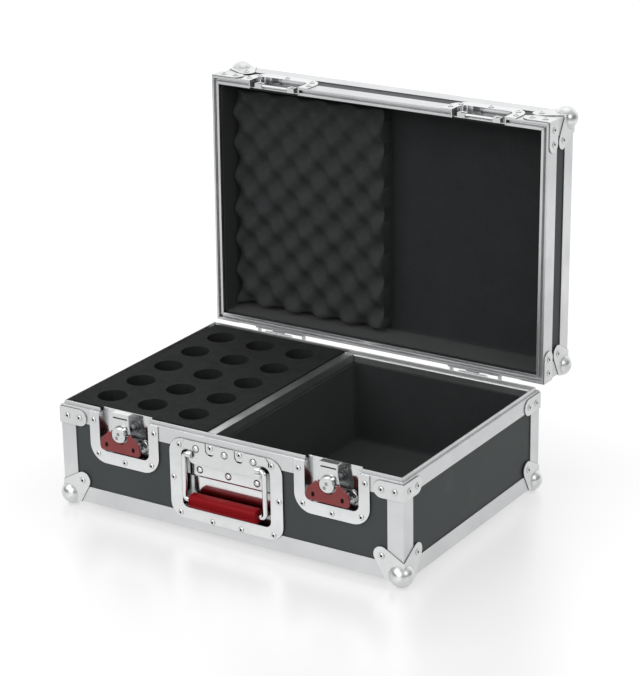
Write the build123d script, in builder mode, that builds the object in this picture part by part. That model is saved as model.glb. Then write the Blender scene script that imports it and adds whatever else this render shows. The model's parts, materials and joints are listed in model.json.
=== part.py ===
from build123d import *
import os

# Microphone case, open. Everything is drawn with the case shut, in millimetres: X along the front, Y to the
# back, Z up, with z = 0 under the lower edge rails and the base centred on the origin. Each finished piece is
# then placed by save(), which swings the lid's pieces open about the hinge pins.

# Driving dimensions
width = 500.0
depth = 340.0
base_height = 128.0
lid_depth = 68.5
sheet = 1.5
panel = 7.0
wall = sheet + panel + sheet
leg = 22.0
open_angle = 90.87
shut_gap = 0.3

# Ball corners: the ball's radius, how far inside the three faces its centre is, and their rivets
ball_r = 15.2
ball_inset = 7.0
corner_rivet = 29.5

# Hinge pins, outside the back wall and just under the mouth
pin_y = depth / 2 + 6.8
pin_z = base_height - 1.6
pin_r = 2.0
knuckle_r = 4.2
hinge_centres = (-149.0, 150.0)
hinge_half = 38.0

# Catches and handle, recessed in the front
catch_centres = (-152.0, 152.0)
plate = 1.2
recess = 8.7
catch_half = 37.6
catch_flange_half = 52.6
base_reach = 50.0
lid_reach = 26.5
flange_margin = 16.5
claw_y = -depth / 2 + 3.0
claw_z = 92.0
claw_half = 16.0
neck_half = 12.6
spindle_z = 108.9
wing_y = -depth / 2 - 8.9
wing_thick = 2.6
keeper_y = -depth / 2 + 4.75
keeper_z = base_height + 3.0
handle_half = 65.0
handle_low = 29.0
handle_high = 106.7
bail_y = -depth / 2 - 4.0
bail_z = 102.3
bail_r = 3.2
arm_x = 59.0
grip_z = 42.0

# Inside
felt = 1.9
hole_r = 19.0
hole_rows = (120.2, 59.4, -1.4, -62.2, -123.0)
hole_columns = (-203.6, -141.0, -78.4)

# The assembly's frame: the middle of the open case's footprint, on the floor
ball_drop = 8.0
footprint_y = 38.5

total_height = base_height + lid_depth
mouth = Plane.XY.offset(base_height)
hinge_axis = Axis((0, pin_y, pin_z), (1, 0, 0))


def front_plane(inset):
    # XZ plane facing the viewer, `inset` behind the outside of the front wall
    return Plane.XZ.offset(depth / 2 - inset)


def save(label, *pieces, on_lid=False):
    solids = []
    for piece in pieces:
        if on_lid:
            piece = piece.rotate(hinge_axis, -open_angle)
        placed = piece.translate((0, -footprint_y, ball_drop))
        solids.extend(placed.solids())
    group = Compound(solids)
    group.label = label
    export_step(group, f"parts/{label}.step")


def block(x, y, z):
    # A plain box between two limits on each axis
    with BuildPart() as box:
        with Locations(((x[0] + x[1]) / 2, (y[0] + y[1]) / 2, (z[0] + z[1]) / 2)):
            Box(x[1] - x[0], y[1] - y[0], z[1] - z[0])
    return box.part


def rail(section, start, end, outer, left_mitre, right_mitre):
    # A length of extrusion along X. The section is drawn as (inset from the outer face, height), the outer
    # face lies at y = -outer, and a mitred end runs in at 45 degrees from its outer corner.
    depth_in = max(inset for inset, _ in section)
    low = min(height for _, height in section)
    high = max(height for _, height in section)
    with BuildPart() as bar:
        with BuildSketch(Plane.YZ.offset(start)):
            Polygon(*[(inset - outer, height) for inset, height in section], align=None)
        extrude(amount=end - start)
        with BuildSketch(Plane.XY.offset(low)):
            Polygon(
                (start, -outer),
                (end, -outer),
                (end - right_mitre * depth_in, depth_in - outer),
                (start + left_mitre * depth_in, depth_in - outer),
                align=None,
            )
        extrude(amount=high - low, mode=Mode.INTERSECT)
    return bar.part


def mouth_rails(section):
    # Back and side lengths, then the front in three lengths broken by the catches
    gap = 0.1
    reach = catch_half + plate + 0.2
    back = rail(section, gap - width / 2, width / 2 - gap, depth / 2, 1, 1)
    side = rail(section, gap - depth / 2, depth / 2 - gap, width / 2, 1, 1)
    left, right = catch_centres
    return [
        back.rotate(Axis.Z, 180),
        side.rotate(Axis.Z, 90),
        side.rotate(Axis.Z, -90),
        rail(section, gap - width / 2, left - reach, depth / 2, 1, 0),
        rail(section, left + reach, right - reach, depth / 2, 0, 0),
        rail(section, right + reach, width / 2 - gap, depth / 2, 0, 1),
    ]


def edge_rails():
    # L-shaped rails round the bottom edge, square-cut between the ball corners
    section = ((0, 0), (leg, 0), (leg, sheet), (sheet, sheet), (sheet, leg), (0, leg))
    long = rail(section, leg - width / 2, width / 2 - leg, depth / 2, 0, 0)
    short = rail(section, leg - depth / 2, depth / 2 - leg, width / 2, 0, 0)
    return [
        long,
        long.rotate(Axis.Z, 180),
        short.rotate(Axis.Z, 90),
        short.rotate(Axis.Z, -90),
    ]


def four_corners(piece):
    # A piece drawn for the front left corner, mirrored to the other three
    right = piece.mirror(Plane.YZ)
    return [piece, right, piece.mirror(Plane.XZ), right.mirror(Plane.XZ)]


def corner_posts(low, high):
    with BuildPart() as post:
        with BuildSketch(Plane.XY.offset(low)):
            with Locations((-width / 2, -depth / 2)):
                Rectangle(leg, leg, align=Align.MIN)
            with Locations((sheet - width / 2, sheet - depth / 2)):
                Rectangle(leg, leg, align=Align.MIN, mode=Mode.SUBTRACT)
        extrude(amount=high - low)
    return four_corners(post.part)


def ball_corner():
    # Three plates over the lower front left corner and a ball that stands out of all three faces
    foot = 25.0
    with BuildPart() as corner:
        # the normals of XY and YZ point into the case, that of XZ out of it
        for face, outward in ((Plane.XY, -plate), (Plane.YZ, -plate), (Plane.XZ, plate)):
            with BuildSketch(face):
                with BuildLine():
                    Line((-plate, -plate), (foot, -plate))
                    Line((foot, -plate), (39.6, 24.6))
                    RadiusArc((39.6, 24.6), (24.6, 39.6), -11.0)
                    Line((24.6, 39.6), (-plate, foot))
                    Line((-plate, foot), (-plate, -plate))
                make_face()
            extrude(amount=outward)
        with Locations((ball_inset, ball_inset, ball_inset)):
            Sphere(ball_r)
        with Locations((0, 0, 0)):
            Box(60, 60, 60, align=Align.MIN, mode=Mode.SUBTRACT)
        with Locations((0, 0, -ball_drop)):
            Box(80, 80, 20, align=(Align.CENTER, Align.CENTER, Align.MAX), mode=Mode.SUBTRACT)
    return corner.part.translate((-width / 2, -depth / 2, 0))


def corner_brace():
    # Angle plate round the front left corner of the lid's mouth
    with BuildPart() as brace:
        for face, outward in ((Plane.XZ, sheet), (Plane.YZ, -sheet)):
            with BuildSketch(face):
                with Locations((-sheet, 2.2)):
                    Rectangle(29.3 + sheet, 22, align=Align.MIN)
                with Locations((29.3, 13.2)):
                    Circle(11)
            extrude(amount=outward)
    return brace.part.translate((-width / 2, -depth / 2, base_height))


def rivet_head():
    # Blind rivet: low dome with the open end of its tube in the middle, standing on z = 0
    with BuildPart() as head:
        with BuildSketch(Plane.XZ):
            with BuildLine():
                Line((0, 0), (3.7, 0))
                Line((3.7, 0), (3.7, 0.3))
                ThreePointArc((3.7, 0.3), (2.9, 1.05), (1.7, 1.4))
                Line((1.7, 1.4), (1.2, 1.1))
                Line((1.2, 1.1), (1.2, 0.4))
                Line((1.2, 0.4), (0, 0.4))
                Line((0, 0.4), (0, 0))
            make_face()
        revolve(axis=Axis.Z)
    return head.part


def round_head(radius, height):
    # Solid round-head rivet standing on z = 0: the cap of a sphere
    sphere_r = (radius**2 + height**2) / (2 * height)
    with BuildPart() as head:
        with Locations((0, 0, height - sphere_r)):
            Sphere(sphere_r)
        Box(30, 30, 30, align=(Align.CENTER, Align.CENTER, Align.MAX), mode=Mode.SUBTRACT)
    return head.part


def on_front(head, points, inset=0.0):
    # Heads laid on a plane that faces the viewer
    spot = front_plane(inset)
    return [spot.location * Location((x, z, 0)) * head for x, z in points]


def corner_rivets(head, reach, offsets):
    # Heads on the front and side faces of one corner, on a plate `reach` thick, for all four corners
    found = []
    for along, height in offsets:
        front = Plane((along - width / 2, -depth / 2 - reach, height), z_dir=(0, -1, 0))
        side = Plane((-width / 2 - reach, along - depth / 2, height), z_dir=(-1, 0, 0))
        for spot in (front, side):
            found.extend(four_corners(spot.location * head))
    return found


def under_rivets(head):
    spot = Plane((corner_rivet - width / 2, corner_rivet - depth / 2, -plate), z_dir=(0, 0, -1))
    return four_corners(spot.location * head)


def catch_dish(reach):
    # Flanged dish let into the front wall and open at the mouth, drawn above z = 0
    half = catch_half
    outer = catch_flange_half
    start = 0.2
    with BuildPart() as dish:
        with BuildSketch(front_plane(0)) as flange:
            with Locations((0, start)):
                Rectangle(2 * outer, reach + flange_margin - start, align=(Align.CENTER, Align.MIN))
            fillet(flange.vertices().group_by(Axis.Y)[-1], 24)
        extrude(amount=plate)
        with BuildSketch(front_plane(0)) as tray:
            with Locations((0, start)):
                Rectangle(2 * (half + plate), reach + plate - start, align=(Align.CENTER, Align.MIN))
            fillet(tray.vertices().group_by(Axis.Y)[-1], 9 + plate)
        extrude(amount=-recess - plate)
        with BuildSketch(front_plane(-plate)) as opening:
            Rectangle(2 * half, reach, align=(Align.CENTER, Align.MIN))
            fillet(opening.vertices().group_by(Axis.Y)[-1], 9)
        extrude(amount=-recess - plate, mode=Mode.SUBTRACT)
    return dish.part


def wall_panel(face_y, low, high, cut_reach=None, handle=False):
    # Front or back panel, with the openings the dishes pass through
    slack = 0.2
    with BuildPart() as board:
        with BuildSketch(Plane.XZ.offset(-face_y)):
            with Locations((0, low)):
                Rectangle(width - 2 * sheet, high - low, align=(Align.CENTER, Align.MIN))
            if cut_reach:
                near, far = cut_reach
                with Locations(*[(x, min(near, far)) for x in catch_centres]):
                    Rectangle(
                        2 * (catch_half + plate + slack),
                        abs(far - near),
                        align=(Align.CENTER, Align.MIN),
                        mode=Mode.SUBTRACT,
                    )
            if handle:
                with Locations((0, handle_low - plate - slack)):
                    Rectangle(
                        2 * (handle_half + plate + slack),
                        handle_high - handle_low + 2 * (plate + slack),
                        align=(Align.CENTER, Align.MIN),
                        mode=Mode.SUBTRACT,
                    )
        extrude(amount=-panel)
    return board.part


def side_panel(sign, low, high):
    inner = width / 2 - sheet - panel
    outer = width / 2 - sheet
    reach = depth / 2 - sheet - panel
    limits = (inner, outer) if sign > 0 else (-outer, -inner)
    return block(limits, (-reach, reach), (low, high))


def felt_sheets(x, y, z, open_up):
    # Lining glued up from five flat sheets: one on the floor or under the top, four round the sides
    side_z = (z[0] + felt, z[1]) if open_up else (z[0], z[1] - felt)
    flat_z = (z[0], z[0] + felt) if open_up else (z[1] - felt, z[1])
    between = (x[0] + felt, x[1] - felt)
    return [
        block(x, y, flat_z),
        block((x[0], x[0] + felt), y, side_z),
        block((x[1] - felt, x[1]), y, side_z),
        block(between, (y[0], y[0] + felt), side_z),
        block(between, (y[1] - felt, y[1]), side_z),
    ]


os.makedirs("parts", exist_ok=True)

# ---- Base shell
front_y = sheet - depth / 2
floor_top = sheet + panel
panel_top = base_height - sheet
base_cut = (base_height - base_reach - plate - 0.2, base_height)
save("base_front_panel", wall_panel(front_y, floor_top, panel_top, base_cut, handle=True))
save("base_back_panel", wall_panel(depth / 2 - sheet - panel, floor_top, panel_top))
save("base_left_panel", side_panel(-1, floor_top, panel_top))
save("base_right_panel", side_panel(1, floor_top, panel_top))
save(
    "base_bottom_panel",
    block(
        (sheet - width / 2, width / 2 - sheet),
        (sheet - depth / 2, depth / 2 - sheet),
        (sheet, floor_top),
    ),
)

tongue_flange = 20.0
tongue_section = (
    (0, -tongue_flange),
    (sheet, -tongue_flange),
    (sheet, -sheet),
    (wall - sheet, -sheet),
    (wall - sheet, -9.3),
    (wall, -9.3),
    (wall, -0.25),
    (5.9, -0.25),
    (4.9, 4.7),
    (3.6, 4.7),
    (2.9, 0),
    (0, 0),
)
raised = [(inset, base_height + height) for inset, height in tongue_section]
save("base_tongue_rails", *mouth_rails(raised))
save("base_lower_rails", *edge_rails())
save("base_corner_posts", *corner_posts(leg + 0.2, base_height - tongue_flange - 0.2))

corner = ball_corner()
brace = corner_brace()
save("base_ball_corners", *four_corners(corner))
save("base_corner_braces", *[piece.mirror(mouth) for piece in four_corners(brace)])

# ---- Lid shell
groove_flange = 24.5
groove_section = (
    (0, shut_gap),
    (2.6, shut_gap),
    (2.6, 5.5),
    (6.5, 5.5),
    (6.5, 0.6),
    (wall, 0.6),
    (wall, 9.5),
    (wall - sheet, 9.5),
    (wall - sheet, 7),
    (sheet, 7),
    (sheet, groove_flange),
    (0, groove_flange),
)
lid_low = base_height + 7
lid_high = total_height - sheet - panel
lid_cut = (base_height, base_height + lid_reach + plate + 0.2)
save(
    "lid_front_panel",
    wall_panel(front_y, lid_low, lid_high, lid_cut),
    on_lid=True,
)
save("lid_back_panel", wall_panel(depth / 2 - sheet - panel, lid_low, lid_high), on_lid=True)
save("lid_left_panel", side_panel(-1, lid_low, lid_high), on_lid=True)
save("lid_right_panel", side_panel(1, lid_low, lid_high), on_lid=True)
save(
    "lid_top_panel",
    block(
        (sheet - width / 2, width / 2 - sheet),
        (sheet - depth / 2, depth / 2 - sheet),
        (lid_high, total_height - sheet),
    ),
    on_lid=True,
)
raised = [(inset, base_height + height) for inset, height in groove_section]
save("lid_groove_rails", *mouth_rails(raised), on_lid=True)

mid_height = Plane.XY.offset(total_height / 2)
save("lid_edge_rails", *[piece.mirror(mid_height) for piece in edge_rails()], on_lid=True)
posts = corner_posts(base_height + groove_flange + 0.2, total_height - leg - 0.2)
save("lid_corner_posts", *posts, on_lid=True)
balls = [piece.mirror(mid_height) for piece in four_corners(corner)]
save("lid_ball_corners", *balls, on_lid=True)
save("lid_corner_braces", *four_corners(brace), on_lid=True)

# ---- Handle
with BuildPart() as handle_dish:
    with BuildSketch(front_plane(0)):
        with Locations((0, 66.7)):
            RectangleRounded(165.2, 106.6, 20)
    extrude(amount=plate)
    with BuildSketch(front_plane(0)):
        with Locations((0, (handle_low + handle_high) / 2)):
            RectangleRounded(
                2 * (handle_half + plate), handle_high - handle_low + 2 * plate, 8 + plate
            )
    extrude(amount=-recess - plate)
    with BuildSketch(front_plane(-plate)):
        with Locations((0, (handle_low + handle_high) / 2)):
            RectangleRounded(2 * handle_half, handle_high - handle_low, 8)
    extrude(amount=-recess - plate, mode=Mode.SUBTRACT)
save("handle_dish", handle_dish.part)

# The cover closes the top of the opening and carries the two lugs the bail turns in
lug_r = 4.2
lug_x = 50.3
lug_long = 6.8
with BuildPart() as handle_cover:
    with BuildSketch(front_plane(-plate)):
        with BuildLine():
            Polyline(
                (-63.5, 108.4),
                (-53.7, 108.4),
                (-53.7, 97.5),
                (-50, 91.5),
                (-44, 89.6),
            )
            Spline((-44, 89.6), (-24, 91.2), (0, 89.0), (24, 91.2), (44, 89.6))
            Polyline((44, 89.6), (50, 91.5), (53.7, 97.5), (53.7, 108.4), (63.5, 108.4))
            Polyline((63.5, 108.4), (63.5, 115), (59, 119.7))
            Polyline((59, 119.7), (-59, 119.7), (-63.5, 115), (-63.5, 108.4))
        make_face()
        with Locations((-21.35, 112), (21.35, 112)):
            Circle(7, mode=Mode.SUBTRACT)
        with Locations((-21.35, 116.5), (21.35, 116.5)):
            Rectangle(14, 9, mode=Mode.SUBTRACT)
    extrude(amount=plate)
    with Locations((-lug_x, bail_y, bail_z), (lug_x, bail_y, bail_z)):
        Cylinder(lug_r, lug_long, rotation=(0, 90, 0))
    with Locations((-lug_x, bail_y, bail_z), (lug_x, bail_y, bail_z)):
        Cylinder(bail_r + 0.06, lug_long + 2.6, rotation=(0, 90, 0), mode=Mode.SUBTRACT)
save("handle_cover_plate", handle_cover.part)

with BuildPart() as handle_back:
    with BuildSketch(Plane.YZ.offset(-61)):
        Polygon(
            (-165.2, 72.8),
            (-161.4, 69.0),
            (-161.4, 70.7),
            (-164.0, 73.3),
            (-164.0, 96.4),
            (-161.4, 99.0),
            (-161.4, 100.7),
            (-165.2, 96.9),
            align=None,
        )
    extrude(amount=122)
save("handle_back_plate", handle_back.part)

with BuildPart() as bail:
    with BuildLine(Plane.XZ.offset(-bail_y)) as path:
        FilletPolyline(
            (-lug_x + 3.8, bail_z),
            (-arm_x, bail_z),
            (-arm_x, grip_z),
            (arm_x, grip_z),
            (arm_x, bail_z),
            (lug_x - 3.8, bail_z),
            radius=5,
        )
    with BuildSketch(Plane((-lug_x + 3.8, bail_y, bail_z), z_dir=(-1, 0, 0))):
        Circle(bail_r)
    sweep()
save("handle_bail", bail.part)

with BuildPart() as grip:
    with Locations((0, bail_y, grip_z)):
        Cylinder(9, 98, rotation=(0, 90, 0))
    chamfer(grip.edges().filter_by(GeomType.CIRCLE), 1.8)
    with Locations((0, bail_y, grip_z)):
        Cylinder(bail_r, 98, rotation=(0, 90, 0), mode=Mode.SUBTRACT)
save("handle_grip", grip.part)

dome = round_head(4.3, 2.3)
on_cover = on_front(dome, [(x, 110.7) for x in (-42, 0, 42)], -2 * plate)
on_back = on_front(dome, [(x, 80.3) for x in (-42, 0, 42)], 4.8)
save("handle_rivets", *on_cover, *on_back)

# ---- Catches, drawn once about x = 0 and set at both centres
# The base's dish carries the tongue across its back wall, and the lid's is cut away to take it
dish_back = -depth / 2 + recess
base_dish = catch_dish(base_reach).mirror(Plane.XY).translate((0, 0, base_height))
base_dish += block(
    (0.2 - catch_half, catch_half - 0.2),
    (dish_back + 0.2, dish_back + plate),
    (base_height - 1, base_height + 4.7),
)
strike_dish = catch_dish(lid_reach).translate((0, 0, base_height))
strike_dish -= block(
    (-catch_half, catch_half), (dish_back - 1, -depth / 2 + wall), (base_height, base_height + 5.4)
)

with BuildPart() as bracket:
    with Locations((0, -depth / 2 + recess, claw_z)):
        Box(44, plate, 17, align=(Align.CENTER, Align.MAX, Align.CENTER))
    for side in (-20.2, 20.2):
        with BuildSketch(Plane.YZ.offset(side - 0.8)):
            with Locations((claw_y, claw_z)):
                Circle(5.6)
            with Locations((claw_y, claw_z - 5.6)):
                Rectangle(recess - 3.0 - 0.1, 11.2, align=Align.MIN)
        extrude(amount=1.6)
    with Locations((0, claw_y, claw_z)):
        Cylinder(1.5, 50, rotation=(0, 90, 0), mode=Mode.SUBTRACT)

with BuildPart() as pivot_pin:
    with Locations((0, claw_y, claw_z)):
        Cylinder(1.5, 44, rotation=(0, 90, 0))

strap_y = -depth / 2 - 5.6
with BuildPart() as claw:
    with BuildSketch(Plane.YZ.offset(-claw_half)):
        Polygon(
            (strap_y - 1.6, 88.0),
            (claw_y, 88.0),
            (claw_y, 90.0),
            (strap_y, 90.0),
            (strap_y, 134.2),
            (-169.2, 134.2),
            (-169.2, 133.4),
            (-167.8, 133.4),
            (-167.8, 135.8),
            (strap_y - 1.6, 135.8),
            align=None,
        )
        with Locations((claw_y, claw_z)):
            Circle(4.0)
    extrude(amount=2 * claw_half)
    with Locations((0, claw_y, claw_z)):
        Cylinder(1.56, 50, rotation=(0, 90, 0), mode=Mode.SUBTRACT)
    with BuildSketch(Plane.XZ.offset(-strap_y - 1)):
        with Locations((0, spindle_z)):
            Circle(4.06)
        with Locations((0, 129.8)):
            SlotOverall(22, 1.4)
    extrude(amount=4, mode=Mode.SUBTRACT)
    with BuildSketch(Plane.XZ.offset(depth / 2 + 20)):
        Polygon(
            (-claw_half, 86),
            (claw_half, 86),
            (claw_half, 104),
            (neck_half, 122),
            (neck_half, 137),
            (-neck_half, 137),
            (-neck_half, 122),
            (-claw_half, 104),
            align=None,
        )
    extrude(amount=-30, mode=Mode.INTERSECT)

disc_back = -depth / 2 - 7.6
disc_front = -depth / 2 - 13.0
with BuildPart() as spindle:
    with BuildSketch(Plane.XZ.offset(-disc_back)):
        with Locations((0, spindle_z)):
            Circle(10.1)
    extrude(amount=disc_back - disc_front)
    chamfer(spindle.faces().sort_by(Axis.Y)[0].edges(), 0.9)
    with BuildSketch(Plane.XZ.offset(-disc_back)):
        with Locations((0, spindle_z)):
            Circle(4)
    extrude(amount=disc_back + depth / 2 - 5.5)
    with BuildSketch(Plane.XZ.offset(-strap_y - 2.0)):
        with Locations((0, spindle_z)):
            Circle(6.5)
    extrude(amount=1.6)
    with BuildSketch(Plane.XZ.offset(-disc_front)):
        with Locations((0, spindle_z + 1.6), (-2.7, spindle_z - 4)):
            Circle(1.3)
            Circle(0.7, mode=Mode.SUBTRACT)
    extrude(amount=0.4)
    with Locations((0, wing_y, spindle_z)):
        Cylinder(0.75, 30, rotation=(0, 90, 0), mode=Mode.SUBTRACT)

with BuildPart() as wing_pin:
    with Locations((0, wing_y, spindle_z)):
        Cylinder(0.75, 35.4, rotation=(0, 90, 0))

notch = 12.6
ear = 18.2
with BuildPart() as wing:
    with BuildSketch(Plane.XZ.offset(-wing_y - wing_thick / 2)):
        with BuildLine():
            FilletPolyline(
                (0, spindle_z - 24.5),
                (-29.9, spindle_z - 24.5),
                (-29.9, spindle_z - 15),
                (-28.4, spindle_z - 9),
                (-ear, spindle_z),
                radius=4,
            )
            Line((-ear, spindle_z), (0, spindle_z))
            mirror(about=Plane.YZ)
        make_face()
        with Locations((0, spindle_z)):
            Circle(notch, mode=Mode.SUBTRACT)
        with Locations((-20.4, spindle_z - 16.6), (20.4, spindle_z - 16.6)):
            SlotOverall(6.4, 4.6, rotation=90, mode=Mode.SUBTRACT)
    extrude(amount=wing_thick)
    for side in (-1, 1):
        with Locations((side * (notch + ear) / 2, wing_y, spindle_z)):
            Cylinder(wing_thick / 2, ear - notch, rotation=(0, 90, 0))
    with Locations((0, wing_y, spindle_z)):
        Cylinder(0.82, 50, rotation=(0, 90, 0), mode=Mode.SUBTRACT)

with BuildPart() as keeper:
    with Locations((0, keeper_y, keeper_z)):
        Cylinder(1.8, 44, rotation=(0, 90, 0))
    for side in (-25, 25):
        with Locations((side, -depth / 2 + recess, base_height + 0.9)):
            Box(10.8, 6.4, 8.6, align=(Align.CENTER, Align.MAX, Align.MIN))
    bosses = [(-25, base_height + 5.2), (25, base_height + 5.2)]
    with Locations(*[front_plane(recess - 6.4).location * Location((x, z, 0)) for x, z in bosses]):
        Cylinder(2.6, 0.9, align=(Align.CENTER, Align.CENTER, Align.MIN))

for side, x in zip(("left", "right"), catch_centres):
    save(f"catch_dish_{side}", base_dish.translate((x, 0, 0)))
    save(f"catch_bracket_{side}", bracket.part.translate((x, 0, 0)))
    save(f"catch_pivot_pin_{side}", pivot_pin.part.translate((x, 0, 0)))
    save(f"catch_claw_{side}", claw.part.translate((x, 0, 0)))
    save(f"catch_spindle_{side}", spindle.part.translate((x, 0, 0)))
    save(f"catch_wing_pin_{side}", wing_pin.part.translate((x, 0, 0)))
    save(f"catch_wing_{side}", wing.part.translate((x, 0, 0)))
    save(f"strike_dish_{side}", strike_dish.translate((x, 0, 0)), on_lid=True)
    save(f"strike_bar_{side}", keeper.part.translate((x, 0, 0)), on_lid=True)

# ---- Hinges, drawn once about x = 0
outer_knuckles = ((-20.0, -11.0), (8.4, 20.0))
middle_knuckle = (-10.6, 8.0)
leaf = 2.0
back_y = depth / 2
with BuildPart() as base_leaf:
    with Locations((0, back_y, 84)):
        Box(2 * hinge_half, leaf, 40.2, align=(Align.CENTER, Align.MIN, Align.MIN))
    for start, end in outer_knuckles:
        with Locations(((start + end) / 2, back_y, pin_z - knuckle_r)):
            Box(end - start, pin_y - back_y, leaf, align=(Align.CENTER, Align.MIN, Align.MIN))
        with Locations(((start + end) / 2, pin_y, pin_z)):
            Cylinder(knuckle_r, end - start, rotation=(0, 90, 0))
    for side in (-1, 1):
        # the stops the open lid comes down on
        with Locations((side * 35.5, back_y, 119.2)):
            Box(5, 16, leaf, align=(Align.CENTER, Align.MIN, Align.MIN))
        with Locations((side * 35.5, back_y + 14, 119.2)):
            Box(5, leaf, 11.4, align=(Align.CENTER, Align.MIN, Align.MIN))
    with Locations((0, pin_y, pin_z)):
        Cylinder(pin_r, 50, rotation=(0, 90, 0), mode=Mode.SUBTRACT)

with BuildPart() as hinge_pin:
    with Locations((0, pin_y, pin_z)):
        Cylinder(pin_r, 40, rotation=(0, 90, 0))

with BuildPart() as lid_leaf:
    with Locations((0, back_y, pin_z + 2.1)):
        Box(2 * hinge_half, leaf, 36, align=(Align.CENTER, Align.MIN, Align.MIN))
    start, end = middle_knuckle
    with Locations(((start + end) / 2, back_y, pin_z + 2.1)):
        Box(end - start, pin_y - back_y, knuckle_r - 2.1, align=(Align.CENTER, Align.MIN, Align.MIN))
    with Locations(((start + end) / 2, pin_y, pin_z)):
        Cylinder(knuckle_r, end - start, rotation=(0, 90, 0))
    with Locations((0, pin_y, pin_z)):
        Cylinder(pin_r + 0.06, 50, rotation=(0, 90, 0), mode=Mode.SUBTRACT)

for side, x in zip(("left", "right"), hinge_centres):
    save(f"hinge_base_leaf_{side}", base_leaf.part.translate((x, 0, 0)))
    save(f"hinge_pin_{side}", hinge_pin.part.translate((x, 0, 0)))
    save(f"hinge_lid_leaf_{side}", lid_leaf.part.translate((x, 0, 0)), on_lid=True)

# ---- Rivets
head = rivet_head()
handle_points = [
    (-67.8, 110.9), (67.8, 110.9), (-77.3, 66.0), (77.3, 66.0), (-68.6, 20.2), (68.6, 20.2),
    (-21.2, 16.8), (21.2, 16.8), (-21.35, 115.2), (21.35, 115.2),
]
catch_points = [(-46.4, 11.2), (46.4, 11.2), (-41.0, 55.4), (41.0, 55.4), (0.0, 60.0)]
strike_points = [(-46.4, 12.5), (46.4, 12.5), (-41.0, 29.5), (41.0, 29.5), (0.0, 34.0)]
leaf_points = [(28.5, 10.0), (-28.5, 26.0), (0, 26.0), (28.5, 26.0)]


def on_leaf(centre, points):
    spots = [Plane((centre + x, back_y + leaf, z), z_dir=(0, 1, 0)) for x, z in points]
    return [spot.location * head for spot in spots]


base_rivets = on_front(head, handle_points, -plate)
lid_rivets = []
for x in catch_centres:
    base_rivets += on_front(head, [(x + a, base_height - d) for a, d in catch_points], -plate)
    lid_rivets += on_front(head, [(x + a, base_height + d) for a, d in strike_points], -plate)
for x in hinge_centres:
    base_rivets += on_leaf(x, [(a, 117.4 - d) for a, d in leaf_points])
    lid_rivets += on_leaf(x, [(a, pin_z + d) for a, d in leaf_points])
ball_heads = corner_rivets(head, plate, [(corner_rivet, corner_rivet)])
base_rivets += ball_heads + under_rivets(head)
lid_rivets += [piece.mirror(mid_height) for piece in ball_heads]
lid_rivets += [piece.mirror(mid_height) for piece in under_rivets(head)]
brace_heads = corner_rivets(head, sheet, [(11, base_height + 13.2), (29.3, base_height + 13.2)])
base_rivets += [piece.mirror(mouth) for piece in brace_heads]
lid_rivets += brace_heads
save("base_rivets", *base_rivets)
save("lid_rivets", *lid_rivets, on_lid=True)

# ---- Inside the base
inner_x = width / 2 - wall
inner_y = depth / 2 - wall
foam_top = 132.0
with BuildPart() as foam:
    with Locations(((-inner_x + 0.4 - 33) / 2, 0, floor_top)):
        Box(
            inner_x - 0.4 - 33,
            2 * (inner_y - 0.4),
            foam_top - floor_top,
            align=(Align.CENTER, Align.CENTER, Align.MIN),
        )
    with Locations(*[(x, y, foam_top) for x in hole_columns for y in hole_rows]):
        Cylinder(
            hole_r, 100, align=(Align.CENTER, Align.CENTER, Align.MAX), mode=Mode.SUBTRACT
        )
save("mic_foam_block", foam.part)

save("divider_panel", block((-31, -21), (-inner_y + 0.4, inner_y - 0.4), (floor_top, 129)))
with BuildPart() as cap:
    with BuildSketch(Plane.XZ.offset(-inner_y + 0.4)):
        Polygon(
            (-32.5, 118), (-31, 118), (-31, 129), (-21, 129), (-21, 118), (-19.5, 118),
            (-19.5, 130.5), (-32.5, 130.5),
            align=None,
        )
    extrude(amount=2 * inner_y - 0.8)
save("divider_cap", cap.part)
save(
    "compartment_lining",
    *felt_sheets((-19.3, 241.4), (-159.9, 161.4), (floor_top, 118.4), open_up=True),
)

# ---- Inside the lid
save(
    "lid_lining",
    *felt_sheets((-239.9, 239.9), (-159.9, 159.9), (base_height + 4.7, lid_high), open_up=False),
    on_lid=True,
)
save(
    "lid_egg_foam",
    block((-236, -5), (-147, 152), (base_height + 23, lid_high - felt)),
    on_lid=True,
)
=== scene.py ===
import json
from math import cos, pi, radians

import bmesh
import bpy
from mathutils import Matrix, Vector, noise


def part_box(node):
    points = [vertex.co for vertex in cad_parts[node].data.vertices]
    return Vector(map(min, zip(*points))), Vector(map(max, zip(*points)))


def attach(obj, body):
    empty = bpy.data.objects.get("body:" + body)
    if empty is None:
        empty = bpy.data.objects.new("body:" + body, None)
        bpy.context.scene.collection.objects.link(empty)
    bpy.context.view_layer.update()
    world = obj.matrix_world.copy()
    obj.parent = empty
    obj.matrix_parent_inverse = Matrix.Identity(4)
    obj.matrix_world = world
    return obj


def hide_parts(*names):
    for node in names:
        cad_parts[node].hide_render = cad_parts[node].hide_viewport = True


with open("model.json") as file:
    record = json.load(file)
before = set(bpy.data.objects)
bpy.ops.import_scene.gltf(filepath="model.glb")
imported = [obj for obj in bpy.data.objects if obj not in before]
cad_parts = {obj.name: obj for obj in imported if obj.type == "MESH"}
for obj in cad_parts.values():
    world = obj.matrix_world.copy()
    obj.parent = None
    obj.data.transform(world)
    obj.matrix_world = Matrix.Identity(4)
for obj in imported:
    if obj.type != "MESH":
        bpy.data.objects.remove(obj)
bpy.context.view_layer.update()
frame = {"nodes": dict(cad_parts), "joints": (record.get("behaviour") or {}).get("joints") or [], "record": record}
nodes = frame["nodes"]
joints = {joint["name"]: joint for joint in frame["joints"]}
print("frame loaded,", len(nodes), "nodes")


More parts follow.
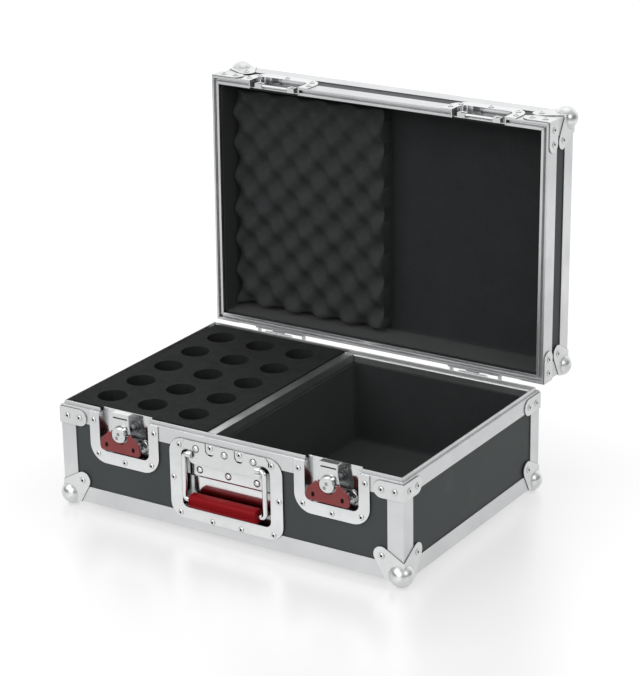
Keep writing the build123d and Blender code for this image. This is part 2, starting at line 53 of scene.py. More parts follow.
class Wire:
    # a node's output that takes part in Python sums; each operator adds its Math node
    def __init__(self, finish, socket):
        self.finish = finish
        self.socket = socket

    def math(self, operation, *values):
        inputs = dict(enumerate(values))
        return self.finish.node("ShaderNodeMath", {"operation": operation}, inputs)

    def __add__(self, other):
        return self.math("ADD", self, other)

    def __radd__(self, other):
        return self.math("ADD", other, self)

    def __sub__(self, other):
        return self.math("SUBTRACT", self, other)

    def __rsub__(self, other):
        return self.math("SUBTRACT", other, self)

    def __mul__(self, other):
        return self.math("MULTIPLY", self, other)

    def __rmul__(self, other):
        return self.math("MULTIPLY", other, self)

    def __gt__(self, other):
        return self.math("GREATER_THAN", self, other)

    def absolute(self):
        return self.math("ABSOLUTE", self)


class Finish:
    # the nodes of a material or a world: node() adds any node, paint() sets the sockets of its shader
    def __init__(self, owner):
        owner.use_nodes = True
        self.owner = owner
        self.tree = owner.node_tree
        self.shader = self.tree.nodes.get("Principled BSDF") or self.tree.nodes["Background"]

    def node(self, kind, settings=None, inputs=None, output=0):
        made = self.tree.nodes.new(kind)
        for key, value in (settings or {}).items():
            if key == "stops":
                while len(made.color_ramp.elements) < len(value):
                    made.color_ramp.elements.new(1)
                for element, (place, colour) in zip(made.color_ramp.elements, value):
                    element.position = place
                    element.color = (*colour, 1) if isinstance(colour, tuple) else (colour,) * 3 + (1,)
            else:
                setattr(made, key, value)
        for key, value in (inputs or {}).items():
            self.plug(made.inputs[key], value)
        return Wire(self, made.outputs[output])

    def plug(self, socket, value):
        if isinstance(value, Wire):
            self.tree.links.new(value.socket, socket)
        elif isinstance(value, tuple) and len(value) == 3 and len(socket.default_value) == 4:
            socket.default_value = (*value, 1)
        else:
            socket.default_value = value

    def paint(self, **sockets):
        for key, value in sockets.items():
            self.plug(self.shader.inputs[key.replace("_", " ")], value)
        return self

    def place(self):
        return self.node("ShaderNodeTexCoord", output="Object")

    def speckle(self, scale, detail=2.0, roughness=0.5, vector=None, stretch=None):
        vector = vector or self.place()
        if stretch:
            vector = self.node("ShaderNodeMapping", inputs={"Vector": vector, "Scale": stretch})
        inputs = {"Vector": vector, "Scale": scale, "Detail": detail, "Roughness": roughness}
        return self.node("ShaderNodeTexNoise", inputs=inputs)

    def cells(self, scale, feature="F1", vector=None):
        inputs = {"Vector": vector or self.place(), "Scale": scale}
        return self.node("ShaderNodeTexVoronoi", {"feature": feature}, inputs)

    def ramp(self, value, *stops):
        return self.node("ShaderNodeValToRGB", {"stops": stops}, {0: value})

    def blend(self, factor, first, second):
        settings = {"data_type": "RGBA"}
        return self.node("ShaderNodeMix", settings, {0: factor, 6: first, 7: second}, output=2)

    def creaseShade(self, reach, low, high):
        # painted shade mask: 1 in the open, falling to 0 where another surface stands within reach
        near = self.node("ShaderNodeAmbientOcclusion", {"samples": 6}, {"Distance": reach}, output="AO")
        return self.ramp(near, (low, 0.0), (high, 1.0))

    def bump(self, height, depth, strength=1.0, under=None):
        inputs = {"Height": height, "Distance": depth, "Strength": strength}
        if under:
            inputs["Normal"] = under
        return self.node("ShaderNodeBump", inputs=inputs)


railLook = dict(
    # the third colour is painted shade, laid in joints and creases
    colour=(0.72, 0.727, 0.733), dull=(0.63, 0.637, 0.645), creaseShade=(0.10, 0.104, 0.108),
    joint=(0.003, 0.42, 0.86),  # reach of the painted shade in joints and creases, and how open the metal is where it starts and ends
    roughness=0.28, streak=900, pull=0.012, lineDepth=0.00002, wave=14, scuff=160,
    sideRails=0.2385,  # further out than this along X, the rails run front to back
)


def makeRail(name, look):
    # satin extrusion: fine drawing lines along each rail, faint handling marks, painted shade in the joints
    finish = Finish(bpy.data.materials.new(name))
    place = finish.place()
    xyz = finish.node("ShaderNodeSeparateXYZ", inputs={0: place})
    side = xyz.absolute() > look["sideRails"]
    pull = look["pull"]
    alongX = finish.speckle(look["streak"], 3, 0.6, place, (pull, 1, 1))
    alongY = finish.speckle(look["streak"], 3, 0.6, place, (1, pull, pull))
    lines = finish.node("ShaderNodeMix", {"data_type": "FLOAT"}, {0: side, 2: alongX, 3: alongY})
    marks = finish.ramp(finish.speckle(look["wave"], 4, 0.62, place), (0.42, 0.0), (0.68, 1.0))
    scuffs = finish.ramp(finish.speckle(look["scuff"], 5, 0.7, place), (0.56, 0.0), (0.74, 1.0))
    # painted shade: the colour darkens where another surface stands near
    unshaded = finish.creaseShade(*look["joint"])
    colour = finish.blend(marks * 0.5, look["colour"], look["dull"])
    finish.paint(
        Base_Color=finish.blend(unshaded, look["creaseShade"], colour),
        Metallic=1.0,
        Roughness=look["roughness"] + marks * 0.08 + lines * 0.10 + scuffs * 0.07,
        Normal=finish.bump(lines, look["lineDepth"], 0.3),
    )
    return finish.owner


steelLook = dict(
    colour=(0.77, 0.777, 0.78), dull=(0.69, 0.697, 0.70), creaseShade=(0.07, 0.073, 0.076),
    joint=(0.0026, 0.42, 0.94), roughness=0.27, wave=9, dent=0.00008,
    bloom=150, scratch=420, scratchDepth=0.000006,
)
brightLook = dict(
    steelLook, colour=(0.78, 0.787, 0.792), dull=(0.70, 0.707, 0.715), creaseShade=(0.06, 0.063, 0.066),
    # its painted shade reaches far, darkening the walls and floors of the dishes
    joint=(0.016, 0.26, 0.84), roughness=0.09, wave=11, dent=0.00016,
)


def makeSteel(name, look):
    # plated sheet steel: a slow ripple from pressing, faint bloom, fine scratches, painted shade round each fixing
    # and in recesses
    finish = Finish(bpy.data.materials.new(name))
    place = finish.place()
    ripple = finish.speckle(look["wave"] * 2.2, 2, 0.45, place)
    bloom = finish.cells(look["bloom"], "SMOOTH_F1", place)
    scratch = finish.speckle(look["scratch"], 4, 0.7, place, (1, 0.05, 1))
    wear = finish.ramp(finish.speckle(look["wave"] * 3, 4, 0.65, place), (0.45, 0.0), (0.7, 1.0))
    # painted shade: the colour darkens round each fixing and in recesses
    unshaded = finish.creaseShade(*look["joint"])
    colour = finish.blend(wear * 0.6, look["colour"], look["dull"])
    finish.paint(
        Base_Color=finish.blend(unshaded, look["creaseShade"], colour),
        Metallic=1.0,
        Roughness=look["roughness"] + bloom * 0.02 + wear * 0.06 + (scratch - 0.5) * 0.06,
        Normal=finish.bump(scratch, look["scratchDepth"], 0.3, finish.bump(ripple, look["dent"], 0.6)),
    )
    return finish.owner


laminateLook = dict(
    colour=(0.044, 0.052, 0.053), light=(0.057, 0.066, 0.066), roughness=0.50,
    grain=1500, grainDepth=0.0001, cloud=7, rub=38,
)


def makeLaminate(name, look):
    # phenolic face with a fine pebbled texture and a few rubbed patches
    finish = Finish(bpy.data.materials.new(name))
    place = finish.place()
    pebble = finish.cells(look["grain"], "SMOOTH_F1", place)
    fine = finish.speckle(look["grain"] * 1.7, 2, 0.5, place)
    cloud = finish.ramp(finish.speckle(look["cloud"], 4, 0.6, place), (0.38, 0.0), (0.66, 1.0))
    rub = finish.ramp(finish.speckle(look["rub"], 5, 0.7, place, (1, 1, 0.5)), (0.55, 0.0), (0.75, 1.0))
    finish.paint(
        Base_Color=finish.blend(cloud * 0.5 + rub * 0.25, look["colour"], look["light"]),
        Roughness=look["roughness"] + fine * 0.12 - rub * 0.07,
        Normal=finish.bump(pebble, look["grainDepth"], 0.5),
    )
    return finish.owner


foamLook = dict(
    colour=(0.0310, 0.0322, 0.0330), pore=(0.0095, 0.0100, 0.0105), cell=1500, depth=0.0004,
    mottle=60, roughness=0.93, shine=0.15,
)
eggLook = dict(foamLook, colour=(0.055, 0.057, 0.0578), pore=(0.031, 0.0323, 0.033), cell=1300)


def makeFoam(name, look):
    # open-cell foam: cut bubbles, with painted shade in their pits
    finish = Finish(bpy.data.materials.new(name))
    place = finish.place()
    bubbles = finish.cells(look["cell"], "F1", place)
    coarse = finish.cells(look["cell"] * 0.37, "F1", place)
    tone = finish.ramp(finish.speckle(look["mottle"], 6, 0.75, place), (0.30, 0.0), (0.70, 1.0))
    pits = finish.ramp(bubbles, (0.15, 0.0), (0.75, 1.0))
    # the pore colour is painted shade in the pits of the bubbles
    colour = finish.blend(pits * 0.5 + tone * 0.5, look["pore"], look["colour"])
    finish.paint(
        Base_Color=colour,
        Roughness=look["roughness"],
        Specular_IOR_Level=look["shine"],
        Normal=finish.bump(bubbles + coarse * 0.6, look["depth"], 0.7),
    )
    return finish.owner


feltLook = dict(
    colour=(0.0215, 0.0228, 0.0238), fluff=(0.0352, 0.0372, 0.0386), fibre=520, mottle=28, depth=0.0003,
    roughness=0.96, shine=0.2, sheen=0.2, sheenRoughness=0.45,
)


def makeFelt(name, look):
    # needled felt: short fibres lying every way and a soft mottle
    finish = Finish(bpy.data.materials.new(name))
    place = finish.place()
    fibreA = finish.speckle(look["fibre"], 6, 0.75, place, (1, 6, 1))
    fibreB = finish.speckle(look["fibre"], 6, 0.75, place, (6, 1, 4))
    mottle = finish.speckle(look["mottle"], 5, 0.62, place)
    fluff = finish.ramp(fibreA * fibreB * 2 + (mottle - 0.5) * 0.5, (0.3, 0.0), (0.85, 1.0))
    finish.paint(
        Base_Color=finish.blend(fluff, look["colour"], look["fluff"]),
        Roughness=look["roughness"],
        Specular_IOR_Level=look["shine"],
        Sheen_Weight=look["sheen"],
        Sheen_Roughness=look["sheenRoughness"],
        Normal=finish.bump(fibreA + fibreB + mottle, look["depth"], 0.6),
    )
    return finish.owner


gripLook = dict(
    colour=(0.265, 0.0015, 0.005), worn=(0.29, 0.004, 0.009), creaseShade=(0.05, 0.0005, 0.001),
    joint=(0.002, 0.35, 0.85), roughness=0.45, shine=0.14,
    stipple=1900, stippleDepth=0.00004, rub=46, streak=300, streakDepth=0.00003,
)
wingLook = dict(
    gripLook, colour=(0.27, 0.052, 0.053), worn=(0.32, 0.08, 0.08), creaseShade=(0.06, 0.008, 0.009),
    roughness=0.36, shine=0.3,
)


def makeRed(name, look):
    # moulded or dipped red plastic, a little chalky where hands rub it, with painted shade in its creases
    finish = Finish(bpy.data.materials.new(name))
    place = finish.place()
    stipple = finish.cells(look["stipple"], "SMOOTH_F1", place)
    worn = finish.ramp(finish.speckle(look["rub"], 5, 0.66, place), (0.40, 0.0), (0.72, 1.0))
    streak = finish.speckle(look["streak"], 3, 0.6, place, (0.08, 1, 1))
    colour = finish.blend(worn * 0.6 + streak * 0.12, look["colour"], look["worn"])
    finish.paint(
        # painted shade in creases and where parts meet
        Base_Color=finish.blend(finish.creaseShade(*look["joint"]), look["creaseShade"], colour),
        Roughness=look["roughness"] + worn * 0.14,
        Specular_IOR_Level=look["shine"],
        Normal=finish.bump(
            stipple, look["stippleDepth"], 0.4, finish.bump(streak, look["streakDepth"], 0.4),
        ),
    )
    return finish.owner


# the near-black of painted shade, with a faint lighter speckle
shadeFillLook = dict(
    colour=(0.003, 0.003, 0.003), dust=(0.012, 0.012, 0.012), grain=2500, roughness=0.8, shine=0.1,
)


def makeCore(name, look):
    # painted shade: the dark of a rivet's open tube, of a slot, and the shade line round a fixing
    finish = Finish(bpy.data.materials.new(name))
    dust = finish.speckle(look["grain"], 3, 0.6)
    finish.paint(
        Base_Color=finish.blend(dust, look["colour"], look["dust"]),
        Roughness=look["roughness"] - dust * 0.2,
        Specular_IOR_Level=look["shine"],
    )
    return finish.owner


finishes = {
    "aluminium_rail": makeRail("extrudedAluminium", railLook),
    "rivet_aluminium": makeSteel("rivetAluminium", dict(steelLook, roughness=0.24)),
    "zinc_steel": makeSteel("zincPlate", steelLook),
    "bright_steel": makeSteel("brightPlate", brightLook),
    "laminate_board": makeLaminate("phenolicLaminate", laminateLook),
    "red_grip": makeRed("redGrip", gripLook),
    "red_wing": makeRed("redWing", wingLook),
    "mic_foam": makeFoam("cutFoam", foamLook),
    "egg_foam": makeFoam("eggFoam", eggLook),
    "black_lining": makeFelt("blackFelt", feltLook),
    "core": makeCore("rivetCore", shadeFillLook),
}
nodeSlot = {part["node"]: part["material_slot"] for part in frame["record"]["subparts"]}
for name, obj in nodes.items():
    obj.data.materials.clear()
    obj.data.materials.append(finishes[nodeSlot[name]])
print("finishes made")

bodies = frame["record"]["behaviour"]["bodies"]
bodyOf = {node: body for body, members in bodies.items() for node in members}
hinge = Vector(joints["lid_hinge"]["pos_m"])
openTurn = Matrix.Rotation(-radians(joints["lid_hinge"]["range_deg"][1]), 3, "X")


def toLid(point):
    # a point of the shut lid, where it is with the lid open
    return hinge + openTurn @ (Vector(point) - hinge)


def finishPiece(name, bm, body, slot, smoothAngle=32, finish=None):
    mesh = bpy.data.meshes.new(name)
    for face in bm.faces:
        face.smooth = True
    for edge in bm.edges:
        edge.smooth = len(edge.link_faces) == 2 and edge.calc_face_angle(0) < radians(smoothAngle)
    bm.to_mesh(mesh)
    bm.free()
    piece = bpy.data.objects.new(name, mesh)
    bpy.context.scene.collection.objects.link(piece)
    mesh.materials.append(finishes[finish or slot])
    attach(piece, body)
    return piece


def splitSolids(bm):
    # solids that touch along an edge share it once merged, so each is cut free and bevels by itself
    if all(len(edge.link_faces) == 2 for edge in bm.edges):
        return
    left = set(bm.faces)
    solids = []
    for first in list(bm.faces):
        if first not in left:
            continue
        left.remove(first)
        solid, stack = [], [first]
        while stack:
            face = stack.pop()
            solid.append(face)
            for edge in face.edges:
                if len(edge.link_faces) == 2:
                    found = [other for other in edge.link_faces if other in left]
                    left.difference_update(found)
                    stack.extend(found)
        solids.append(solid)
    for solid in solids[1:]:
        bmesh.ops.split(bm, geom=solid)


def copyNode(node):
    bm = bmesh.new()
    bm.from_mesh(nodes[node].data)
    bmesh.ops.remove_doubles(bm, verts=bm.verts, dist=2e-6)
    splitSolids(bm)
    return bm


def addBevel(piece, width, segments, angle=30):
    bevel = piece.modifiers.new("edges", "BEVEL")
    bevel.width = width
    bevel.segments = segments
    bevel.limit_method = "ANGLE"
    bevel.angle_limit = radians(angle)
    bevel.harden_normals = True
    return bevel


edgeBreaks = {
    "handle_dish": (0.00045, 2),
    "handle_cover_plate": (0.0004, 2),
    "handle_back_plate": (0.0003, 2),
    "catch_dish_left": (0.00045, 2),
    "catch_dish_right": (0.00045, 2),
    "strike_dish_left": (0.00045, 2),
    "strike_dish_right": (0.00045, 2),
    "strike_bar_left": (0.0003, 2),
    "strike_bar_right": (0.0003, 2),
    "catch_claw_left": (0.0003, 2),
    "catch_claw_right": (0.0003, 2),
    "catch_wing_left": (0.0006, 3),
    "catch_wing_right": (0.0006, 3),
    "catch_bracket_left": (0.0003, 2),
    "catch_bracket_right": (0.0003, 2),
    "base_corner_braces": (0.0005, 2),
    "lid_corner_braces": (0.0005, 2),
    "base_ball_corners": (0.0005, 2),
    "lid_ball_corners": (0.0005, 2),
    "base_lower_rails": (0.0004, 2),
    "lid_edge_rails": (0.0004, 2),
    "base_tongue_rails": (0.0003, 2),
    "lid_groove_rails": (0.0003, 2),
    "divider_cap": (0.0004, 2),
}


def camel(node):
    first, *rest = node.split("_")
    return first + "".join(word.capitalize() for word in rest)


for node, (width, segments) in edgeBreaks.items():
    piece = finishPiece(camel(node), copyNode(node), bodyOf[node], nodeSlot[node])
    addBevel(piece, width, segments)
    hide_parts(node)
print("metalwork eased")

foamCut = dict(round=0.0014, segments=3, angle=50)


def makeMicFoam(cut):
    bm = copyNode("mic_foam_block")
    piece = finishPiece("micFoam", bm, "base", "mic_foam")
    addBevel(piece, cut["round"], cut["segments"], cut["angle"])
    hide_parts("mic_foam_block")


eggCrate = dict(
    low=(-0.2355, -0.1850), high=(-0.0055, 0.1130), step=0.0024,
    pit=(0.0090, -0.0215), pitch=0.0447, tips=0.0236, depth=0.0130, back=0.0578,
    drift=0.0024, driftScale=11, sag=0.0012, sagScale=16, rim=0.004, rimDrop=0.002,
)
mouthHeight = 0.136  # where the lid meets the base, the case shut


def makeEggFoam(crate):
    # a grid pushed into rows of peaks and pits, then given its flat back; drawn with the lid shut
    low, high = crate["low"], crate["high"]
    sizeX, sizeY = high[0] - low[0], high[1] - low[1]
    across, along = (round(size / crate["step"]) for size in (sizeX, sizeY))
    bm = bmesh.new()
    bmesh.ops.create_grid(bm, x_segments=across, y_segments=along, size=0.5)
    bmesh.ops.scale(bm, vec=(sizeX, sizeY, 1), verts=bm.verts)
    bmesh.ops.translate(bm, vec=((low[0] + high[0]) / 2, (low[1] + high[1]) / 2, 0), verts=bm.verts)
    wave = 2 * pi / crate["pitch"]
    for vert in bm.verts:
        x, y = vert.co.x, vert.co.y
        drift = Vector([noise.noise(Vector((x, y, z)) * crate["driftScale"]) for z in (0, 5)])
        drift *= crate["drift"]
        u, v = (x + drift.x - crate["pit"][0]) * wave, (y + drift.y - crate["pit"][1]) * wave
        pit = 0.5 + 0.5 * cos(u) * cos(v)
        sag = crate["sag"] * (1 + noise.noise(Vector((x, y, 9)) * crate["sagScale"]))
        inset = min(x - low[0], high[0] - x, y - low[1], high[1] - y)
        rim = 1 - min(inset / crate["rim"], 1)
        relief = crate["tips"] + sag + crate["depth"] * pit + crate["rimDrop"] * rim * rim
        vert.co.z = mouthHeight + relief
    top = list(bm.faces)
    made = bmesh.ops.extrude_face_region(bm, geom=top)
    backVerts = [item for item in made["geom"] if isinstance(item, bmesh.types.BMVert)]
    for vert in backVerts:
        vert.co.z = mouthHeight + crate["back"]
    bmesh.ops.recalc_face_normals(bm, faces=bm.faces)
    for vert in bm.verts:
        vert.co = toLid(vert.co)
    piece = finishPiece("eggFoam", bm, "lid", "egg_foam", 60)
    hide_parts("lid_egg_foam")


feltTray = dict(
    thick=0.0019, fold=0.006, foldSteps=4, cell=0.013,
    ripple=0.0007, rippleScale=19, rim=0.0008, rimScale=60,
)


def shutBox(node):
    # a lid node's lowest and highest corners with the lid shut
    shutTurn = openTurn.inverted()
    points = [hinge + shutTurn @ (vert.co - hinge) for vert in nodes[node].data.vertices]
    return [Vector(limit(point[axis] for point in points) for axis in range(3)) for limit in (min, max)]


def makeLining(name, node, body, box, openUp, look):
    # felt glued in as one folded tray, a little uneven between its folds and along its rim
    low, high = box
    bm = bmesh.new()
    bmesh.ops.create_cube(bm, size=1)
    bmesh.ops.scale(bm, vec=high - low, verts=bm.verts)
    bmesh.ops.translate(bm, vec=(low + high) / 2, verts=bm.verts)
    mouth = max(bm.faces, key=lambda face: face.normal.z if openUp else -face.normal.z)
    mouthZ = mouth.calc_center_median().z
    bmesh.ops.delete(bm, geom=[mouth], context="FACES")
    folds = [edge for edge in bm.edges if len(edge.link_faces) == 2]
    bmesh.ops.bevel(
        bm, geom=folds, offset=look["fold"], segments=look["foldSteps"], profile=0.5,
        affect="EDGES", material=-1,
    )
    for axis in range(3):
        count = round((high[axis] - low[axis]) / look["cell"])
        for step in range(1, count):
            place, normal = Vector(low), Vector()
            place[axis] += (high[axis] - low[axis]) * step / count
            normal[axis] = 1
            geom = bm.verts[:] + bm.edges[:] + bm.faces[:]
            bmesh.ops.bisect_plane(bm, geom=geom, dist=1e-5, plane_co=place, plane_no=normal)
    bm.normal_update()
    for vert in bm.verts:
        lift = 0.5 + 0.5 * noise.noise(vert.co * look["rippleScale"])
        atMouth = abs(vert.co.z - mouthZ) < 1e-5
        vert.co -= vert.normal * lift * look["ripple"]
        if atMouth:
            drop = look["rim"] * (0.5 + 0.5 * noise.noise(vert.co * look["rimScale"]))
            vert.co.z = mouthZ - drop if openUp else mouthZ + drop
    if body == "lid":
        for vert in bm.verts:
            vert.co = toLid(vert.co)
    piece = finishPiece(name, bm, body, "black_lining", 60)
    felt = piece.modifiers.new("felt", "SOLIDIFY")
    felt.thickness = look["thick"]
    felt.offset = -1
    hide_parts(node)


makeMicFoam(foamCut)
makeEggFoam(eggCrate)
baseBox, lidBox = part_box("compartment_lining"), shutBox("lid_lining")
makeLining("compartmentLining", "compartment_lining", "base", baseBox, True, feltTray)
makeLining("lidLining", "lid_lining", "lid", lidBox, False, feltTray)
print("soft parts made")

coreLook = dict(radius=0.00155, taper=0.8, height=0.00142, thick=0.00012, sides=14)
rimLook = dict(
    steps=20, profile=((0.0042, 0), (0.0042, 0.0002), (0.0048, 0.0002), (0.0048, 0), (0.0042, 0)),
)


def rivetSpots(node):
    # where each rivet head of a node stands, as a turn and shift of one drawn upright on the origin
    nearFloor = 0.00005
    source = copyNode(node)
    left = set(source.verts)
    spots = []
    for first in source.verts:
        if first not in left:
            continue
        left.remove(first)
        island, stack = [], [first]
        while stack:
            vert = stack.pop()
            island.append(vert)
            for edge in vert.link_edges:
                other = edge.other_vert(vert)
                if other in left:
                    left.remove(other)
                    stack.append(other)
        faces = dict.fromkeys(face for vert in island for face in vert.link_faces)
        base = max(faces, key=lambda face: face.calc_area())
        flat = [face for face in faces if face.normal.dot(base.normal) > 0.99]
        outward = -sum((face.normal * face.calc_area() for face in flat), Vector()).normalized()
        floor = min(vert.co.dot(outward) for vert in island)
        ring = [vert.co for vert in island if vert.co.dot(outward) - floor < nearFloor]
        turn = outward.to_track_quat("Z", "Y").to_matrix().to_4x4()
        spots.append(Matrix.Translation(sum(ring, Vector()) / len(ring)) @ turn)
    source.free()
    return spots


def makeCores(name, node, look):
    # a dark disc of painted shade just above the floor of each rivet's open tube
    bm = bmesh.new()
    for spot in rivetSpots(node):
        bmesh.ops.create_cone(
            bm, cap_ends=True, segments=look["sides"],
            radius1=look["radius"], radius2=look["radius"] * look["taper"], depth=look["thick"],
            matrix=spot @ Matrix.Translation((0, 0, look["height"])),
        )
    finishPiece(name, bm, bodyOf[node], nodeSlot[node], 60, "core")


def turnRound(bm, profile, steps, place):
    # a turned shape from its half profile of radius and height
    before = set(bm.verts)
    points = [bm.verts.new((radius, 0, height)) for radius, height in profile]
    edges = [bm.edges.new(pair) for pair in zip(points, points[1:])]
    bmesh.ops.spin(
        bm, geom=points + edges, cent=(0, 0, 0), axis=(0, 0, 1), angle=2 * pi, steps=steps, use_merge=True,
    )
    made = [vert for vert in bm.verts if vert not in before]
    bmesh.ops.remove_doubles(bm, verts=made, dist=1e-6)
    made = [vert for vert in bm.verts if vert not in before]
    bmesh.ops.transform(bm, matrix=place, verts=made)
    faces = dict.fromkeys(face for vert in made for face in vert.link_faces)
    bmesh.ops.recalc_face_normals(bm, faces=list(faces))


def makeRims(name, node, look):
    # painted shade: a dark line round the foot of each solid head
    bm = bmesh.new()
    for spot in rivetSpots(node):
        turnRound(bm, look["profile"], look["steps"], spot)
    finishPiece(name, bm, bodyOf[node], nodeSlot[node], 60, "core")


makeCores("baseRivetCores", "base_rivets", coreLook)
makeCores("lidRivetCores", "lid_rivets", coreLook)
makeRims("handleRivetRims", "handle_rivets", rimLook)
print("rivets finished")

gripShape = dict(
    round=0.0062, roundSteps=6, end=0.0012, endSteps=2, border=0.0007, slope=0.0003, sink=0.0009,
)


def makeGrip(shape):
    # moulded sleeve: rounded square in section, with a shallow panel along its front
    low, high = (Vector(corner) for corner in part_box("handle_grip"))
    bm = bmesh.new()
    bmesh.ops.create_cube(bm, size=1)
    bmesh.ops.scale(bm, vec=high - low, verts=bm.verts)
    bmesh.ops.translate(bm, vec=(low + high) / 2, verts=bm.verts)
    long = [edge for edge in bm.edges if abs(edge.verts[0].co.x - edge.verts[1].co.x) > 0.01]
    bmesh.ops.bevel(
        bm, geom=long, offset=shape["round"], segments=shape["roundSteps"], profile=0.5,
        affect="EDGES", material=-1,
    )
    ends = [edge for edge in bm.edges if abs(edge.verts[0].co.x - edge.verts[1].co.x) < 1e-6]
    bmesh.ops.bevel(
        bm, geom=ends, offset=shape["end"], segments=shape["endSteps"], profile=0.5,
        affect="EDGES", material=-1,
    )
    front = max(bm.faces, key=lambda face: -face.normal.y * face.calc_area())
    bmesh.ops.inset_region(bm, faces=[front], thickness=shape["border"])
    bmesh.ops.inset_region(bm, faces=[front], thickness=shape["slope"], depth=-shape["sink"])
    piece = finishPiece("handleGrip", bm, "bail", "red_grip", 50)
    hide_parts("handle_grip")


catchLook = dict(
    middle=0.152,
    slots=dict(out=0.0204, y=-0.2178, z=0.1003, size=(0.0050, 0.0068, 0.0002), sides=16),
    boss=dict(
        out=0.0225, y=-0.1998, z=0.0995, steps=32,
        profile=(
            (0, 0), (0.0088, 0), (0.0088, 0.0019), (0.0080, 0.0023), (0.0069, 0.0015), (0.0056, 0.0015),
            (0.0052, 0.0026), (0.0034, 0.0028), (0.0028, 0.0022), (0, 0.0022),
        ),
    ),
    hook=dict(y=-0.2149, z=0.1378, size=(0.0220, 0.0002, 0.0014)),
    eyes=dict(
        y=-0.22145, centres=((0, 0.1185), (-0.0027, 0.1129)), steps=16,
        profile=((0.0013, 0), (0.0013, 0.0002), (0.0020, 0.0002), (0.0020, 0), (0.0013, 0)),
    ),
    barrel=dict(
        start=(0.0015, -0.2200, 0.1212), end=(0.0090, -0.2155, 0.1262), radius=0.0023, sides=20,
        round=0.0006, roundSteps=3,
    ),
)


def makeCatchDetails(side, look):
    # the two riveted bosses in a dish, dark discs of painted shade in its wing's slots, a painted shadow line
    # under its claw's hook, dark rings of painted shade round its spindle's eyes, and the barrel on its spindle
    middle = look["middle"] * (-1 if side == "left" else 1)
    faceOut = Matrix.Rotation(pi / 2, 4, "X")
    boss, slots, hook, eyes, barrel = (look[key] for key in ("boss", "slots", "hook", "eyes", "barrel"))
    bosses, slotShade, hookShadow, eyeShade, bar = (bmesh.new() for _ in range(5))
    for across in (-1, 1):
        place = Matrix.Translation((middle + across * boss["out"], boss["y"], boss["z"])) @ faceOut
        turnRound(bosses, boss["profile"], boss["steps"], place)
        # a dark disc of painted shade filling each slot of the wing
        place = Matrix.Translation((middle + across * slots["out"], slots["y"], slots["z"])) @ faceOut
        bmesh.ops.create_cone(
            slotShade, cap_ends=True, segments=slots["sides"], radius1=0.5, radius2=0.5, depth=1,
            matrix=place @ Matrix.Diagonal((*slots["size"], 1)),
        )
    # a thin dark box: painted shadow under the hook's lip
    place = Matrix.Translation((middle, hook["y"], hook["z"]))
    bmesh.ops.create_cube(hookShadow, size=1, matrix=place @ Matrix.Diagonal((*hook["size"], 1)))
    # dark rings of painted shade round the spindle's two eyes
    for x, z in eyes["centres"]:
        place = Matrix.Translation((middle + x, eyes["y"], z)) @ faceOut
        turnRound(eyeShade, eyes["profile"], eyes["steps"], place)
    start, end = (Vector(barrel[key]) + Vector((middle, 0, 0)) for key in ("start", "end"))
    turn = (end - start).to_track_quat("Z", "Y").to_matrix().to_4x4()
    bmesh.ops.create_cone(
        bar, cap_ends=True, segments=barrel["sides"], radius1=barrel["radius"], radius2=barrel["radius"],
        depth=(end - start).length, matrix=Matrix.Translation((start + end) / 2) @ turn,
    )
    rims = [edge for edge in bar.edges if any(len(face.verts) > 4 for face in edge.link_faces)]
    bmesh.ops.bevel(
        bar, geom=rims, offset=barrel["round"], segments=barrel["roundSteps"], profile=0.5,
        affect="EDGES", material=-1,
    )
    name = side.capitalize()
    finishPiece("catchBosses" + name, bosses, "base", "bright_steel")
    finishPiece("wingSlots" + name, slotShade, bodyOf[f"catch_wing_{side}"], "red_wing", 60, "core")
    finishPiece("clawSlot" + name, hookShadow, bodyOf[f"catch_claw_{side}"], "bright_steel", 60, "core")
    finishPiece("spindleEyes" + name, eyeShade, bodyOf[f"catch_spindle_{side}"], "bright_steel", 60, "core")
    finishPiece("spindleBarrel" + name, bar, bodyOf[f"catch_spindle_{side}"], "bright_steel", 50)


makeGrip(gripShape)
makeCatchDetails("left", catchLook)
makeCatchDetails("right", catchLook)
print("grip and catch details made")

studio = dict(
    floor=(0.22, 0.22, 0.22), floorSize=24, floorRoughness=0.30, floorShine=1.0,
    # how bright the floor glows, as seen and in the metal, by its distance from the case over glowReach; darker
    # next to the case as painted shade, and in the metal shaped as a painted reflection
    footprint=(0.26, 0.18), glowRamp=((0.0, 0.59), (0.05, 0.68)),
    mirrorRamp=((0.0, 0.52), (0.035, 0.60), (0.075, 0.45), (0.22, 0.76), (0.6, 0.30)), glowReach=4.0,
    skyRamp=((0.0, 0.08), (0.14, 0.16), (0.42, 0.50), (0.8, 0.55)),
    backdrop=(-0.45, 0.80, 0.28), backdropGlow=1.1, backdropEdge=(0.05, 0.80),
    aim=(0, 0.05, 0.15),
    lamps=dict(
        key=dict(place=(-1.6, -2.6, 2.6), size=2.4, power=36),
        front=dict(place=(0.4, -3.2, 1.4), size=2.4, power=27),
        fill=dict(place=(3.0, -0.9, 1.7), size=1.6, power=12),
        top=dict(place=(0.2, 0.3, 3.2), size=2.4, power=8),
    ),
)


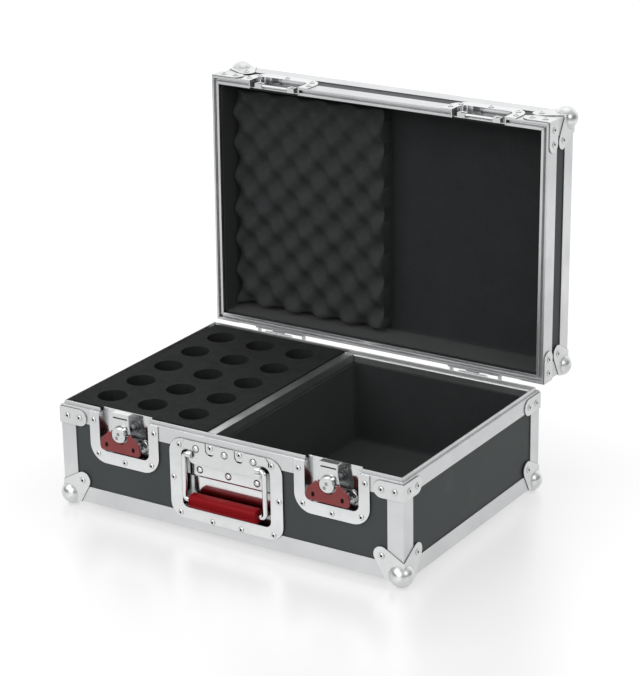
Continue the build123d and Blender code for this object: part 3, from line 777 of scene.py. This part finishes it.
def makeFloor(look):
    # a white sheet that keeps the shadow and a soft reflection; it glows though it is no lamp, painted darker next
    # to the case as painted shade, and greyer where the metal mirrors it as a painted reflection
    bpy.ops.mesh.primitive_plane_add(size=look["floorSize"])
    floor = bpy.context.active_object
    floor.name = "studioFloor"
    finish = Finish(bpy.data.materials.new("whiteFloor"))
    finish.paint(
        Base_Color=look["floor"], Roughness=look["floorRoughness"], Specular_IOR_Level=look["floorShine"],
    )
    away = finish.place()
    footprint = (*look["footprint"], 0)
    for operation, second in (("ABSOLUTE", (0, 0, 0)), ("SUBTRACT", footprint), ("MAXIMUM", (0, 0, 0))):
        away = finish.node("ShaderNodeVectorMath", {"operation": operation}, {0: away, 1: second})
    away = finish.node("ShaderNodeVectorMath", {"operation": "LENGTH"}, {0: away}, output="Value")
    view = finish.node("ShaderNodeLightPath", output="Is Camera Ray")
    view = view.math("MAXIMUM", view, finish.node("ShaderNodeLightPath", output="Is Transmission Ray"))
    mirror = finish.node("ShaderNodeLightPath", output="Is Glossy Ray")
    away = away * (1 / look["glowReach"])
    seenGlow, mirrorGlow = finish.ramp(away, *look["glowRamp"]), finish.ramp(away, *look["mirrorRamp"])
    # seenGlow dips next to the case as painted shade; mirrorGlow, seen only in glossy rays, is a painted
    # reflection
    strength = view * seenGlow + (1 - view) * mirror * mirrorGlow
    glow = finish.node("ShaderNodeEmission", inputs={"Color": (1, 1, 1), "Strength": strength})
    both = finish.node("ShaderNodeAddShader", inputs={0: Wire(finish, finish.shader.outputs[0]), 1: glow})
    finish.plug(finish.tree.nodes["Material Output"].inputs["Surface"], both)
    floor.data.materials.append(finish.owner)


def makeSky(look):
    # pale overhead and greyer low down, so that metal has something to show, with a white backdrop behind
    world = bpy.data.worlds.new("studioSky")
    bpy.context.scene.world = world
    finish = Finish(world)
    direction = finish.node("ShaderNodeTexCoord", output="Generated")
    height = finish.node("ShaderNodeSeparateXYZ", inputs={0: direction}, output="Z")
    tone = finish.ramp(height, *look["skyRamp"])
    facing = finish.node(
        "ShaderNodeVectorMath", {"operation": "DOT_PRODUCT"},
        {0: direction, 1: Vector(look["backdrop"]).normalized()[:]}, output="Value",
    )
    low, high = look["backdropEdge"]
    smooth = {"interpolation_type": "SMOOTHSTEP"}
    lit = finish.node("ShaderNodeMapRange", smooth, {0: facing, 1: low, 2: high})
    glow = look["backdropGlow"]
    tone = finish.blend(lit, tone, (glow, glow, glow))
    seen = finish.node("ShaderNodeLightPath", output="Is Camera Ray")
    seen = seen.math("MAXIMUM", seen, finish.node("ShaderNodeLightPath", output="Is Transmission Ray"))
    finish.paint(Color=finish.blend(seen, tone, (1, 1, 1)))


def makeLamps(look):
    for name, lampLook in look["lamps"].items():
        lamp = bpy.data.lights.new(name + "Light", "AREA")
        lamp.size = lampLook["size"]
        lamp.energy = lampLook["power"]
        obj = bpy.data.objects.new(name + "Light", lamp)
        obj.location = lampLook["place"]
        aim = Vector(look["aim"]) - obj.location
        obj.rotation_euler = aim.to_track_quat("-Z", "Y").to_euler()
        bpy.context.scene.collection.objects.link(obj)


cameraLook = dict(
    place=(1.55972, -2.4338, 1.26933), turn=(1.2172783, 0.0162134, 0.5622315),
    lens=129.582, sensor=36, farClip=50,
)


def makeCamera(look):
    data = bpy.data.cameras.new("mainCamera")
    data.sensor_fit = "VERTICAL"
    data.sensor_height = look["sensor"]
    data.lens = look["lens"]
    data.clip_end = look["farClip"]
    camera = bpy.data.objects.new("mainCamera", data)
    camera.location = look["place"]
    camera.rotation_euler = look["turn"]
    bpy.context.scene.collection.objects.link(camera)
    bpy.context.scene.camera = camera


makeFloor(studio)
makeSky(studio)
makeLamps(studio)
makeCamera(cameraLook)
bpy.context.scene.view_settings.view_transform = "Standard"
print("studio set")
